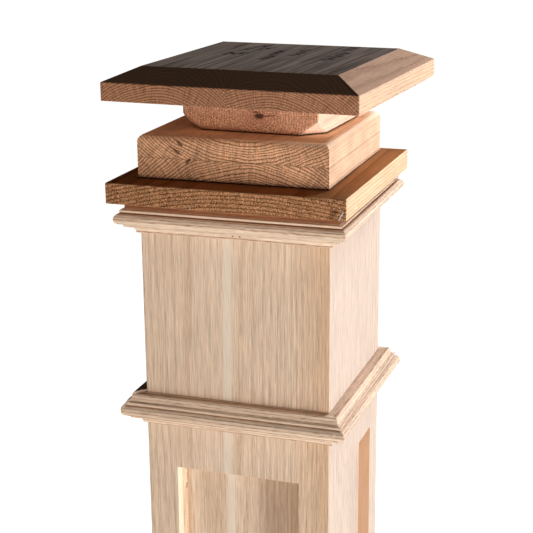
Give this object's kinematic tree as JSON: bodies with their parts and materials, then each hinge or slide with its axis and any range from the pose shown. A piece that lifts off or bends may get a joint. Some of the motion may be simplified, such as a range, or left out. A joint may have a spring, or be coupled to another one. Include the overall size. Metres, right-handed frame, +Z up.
{
  "type": "newel post",
  "caption": "Square box newel post in bare oak: hollow mitred box with sunk panels, mitred moulding bands, plinth, and a stacked cap with bevelled top.",
  "frame": {"origin": "on the floor, on the post's own axis; the cap stands 7 to 8 mm off it, so the bounding box is centred to within 5 mm", "axes": "+Z up the post, -Y out of the front face, +X out of the right-hand face"},
  "size_m": [0.2372, 0.2378, 1.2556],
  "materials": {
    "box_oak": "bare planed oak, grain upright",
    "moulding_oak": "bare moulded oak, grain along the length",
    "plate_oak": "bare sawn oak, end grain to front and back",
    "block_oak": "bare oak glued in two layers, end grain to front and back",
    "pad_oak": "bare pinkish oak with a knot",
    "cap_oak": "bare oak with faded dark pen strokes on top",
    "brad_steel": "bright steel brad"
  },
  "bodies": {
    "root": {"box_board_front": "box_oak", "box_board_right": "box_oak", "box_board_back": "box_oak", "box_board_left": "box_oak", "upper_moulding_front": "moulding_oak", "upper_moulding_right": "moulding_oak", "upper_moulding_back": "moulding_oak", "upper_moulding_left": "moulding_oak", "lower_moulding_front": "moulding_oak", "lower_moulding_right": "moulding_oak", "lower_moulding_back": "moulding_oak", "lower_moulding_left": "moulding_oak", "plinth_board_front": "box_oak", "plinth_board_right": "box_oak", "plinth_board_back": "box_oak", "plinth_board_left": "box_oak", "cap_plate": "plate_oak", "cap_block": "block_oak", "cap_pad": "pad_oak", "bevelled_cap": "cap_oak", "bent_brad": "brad_steel"}
  },
  "joints": []
}
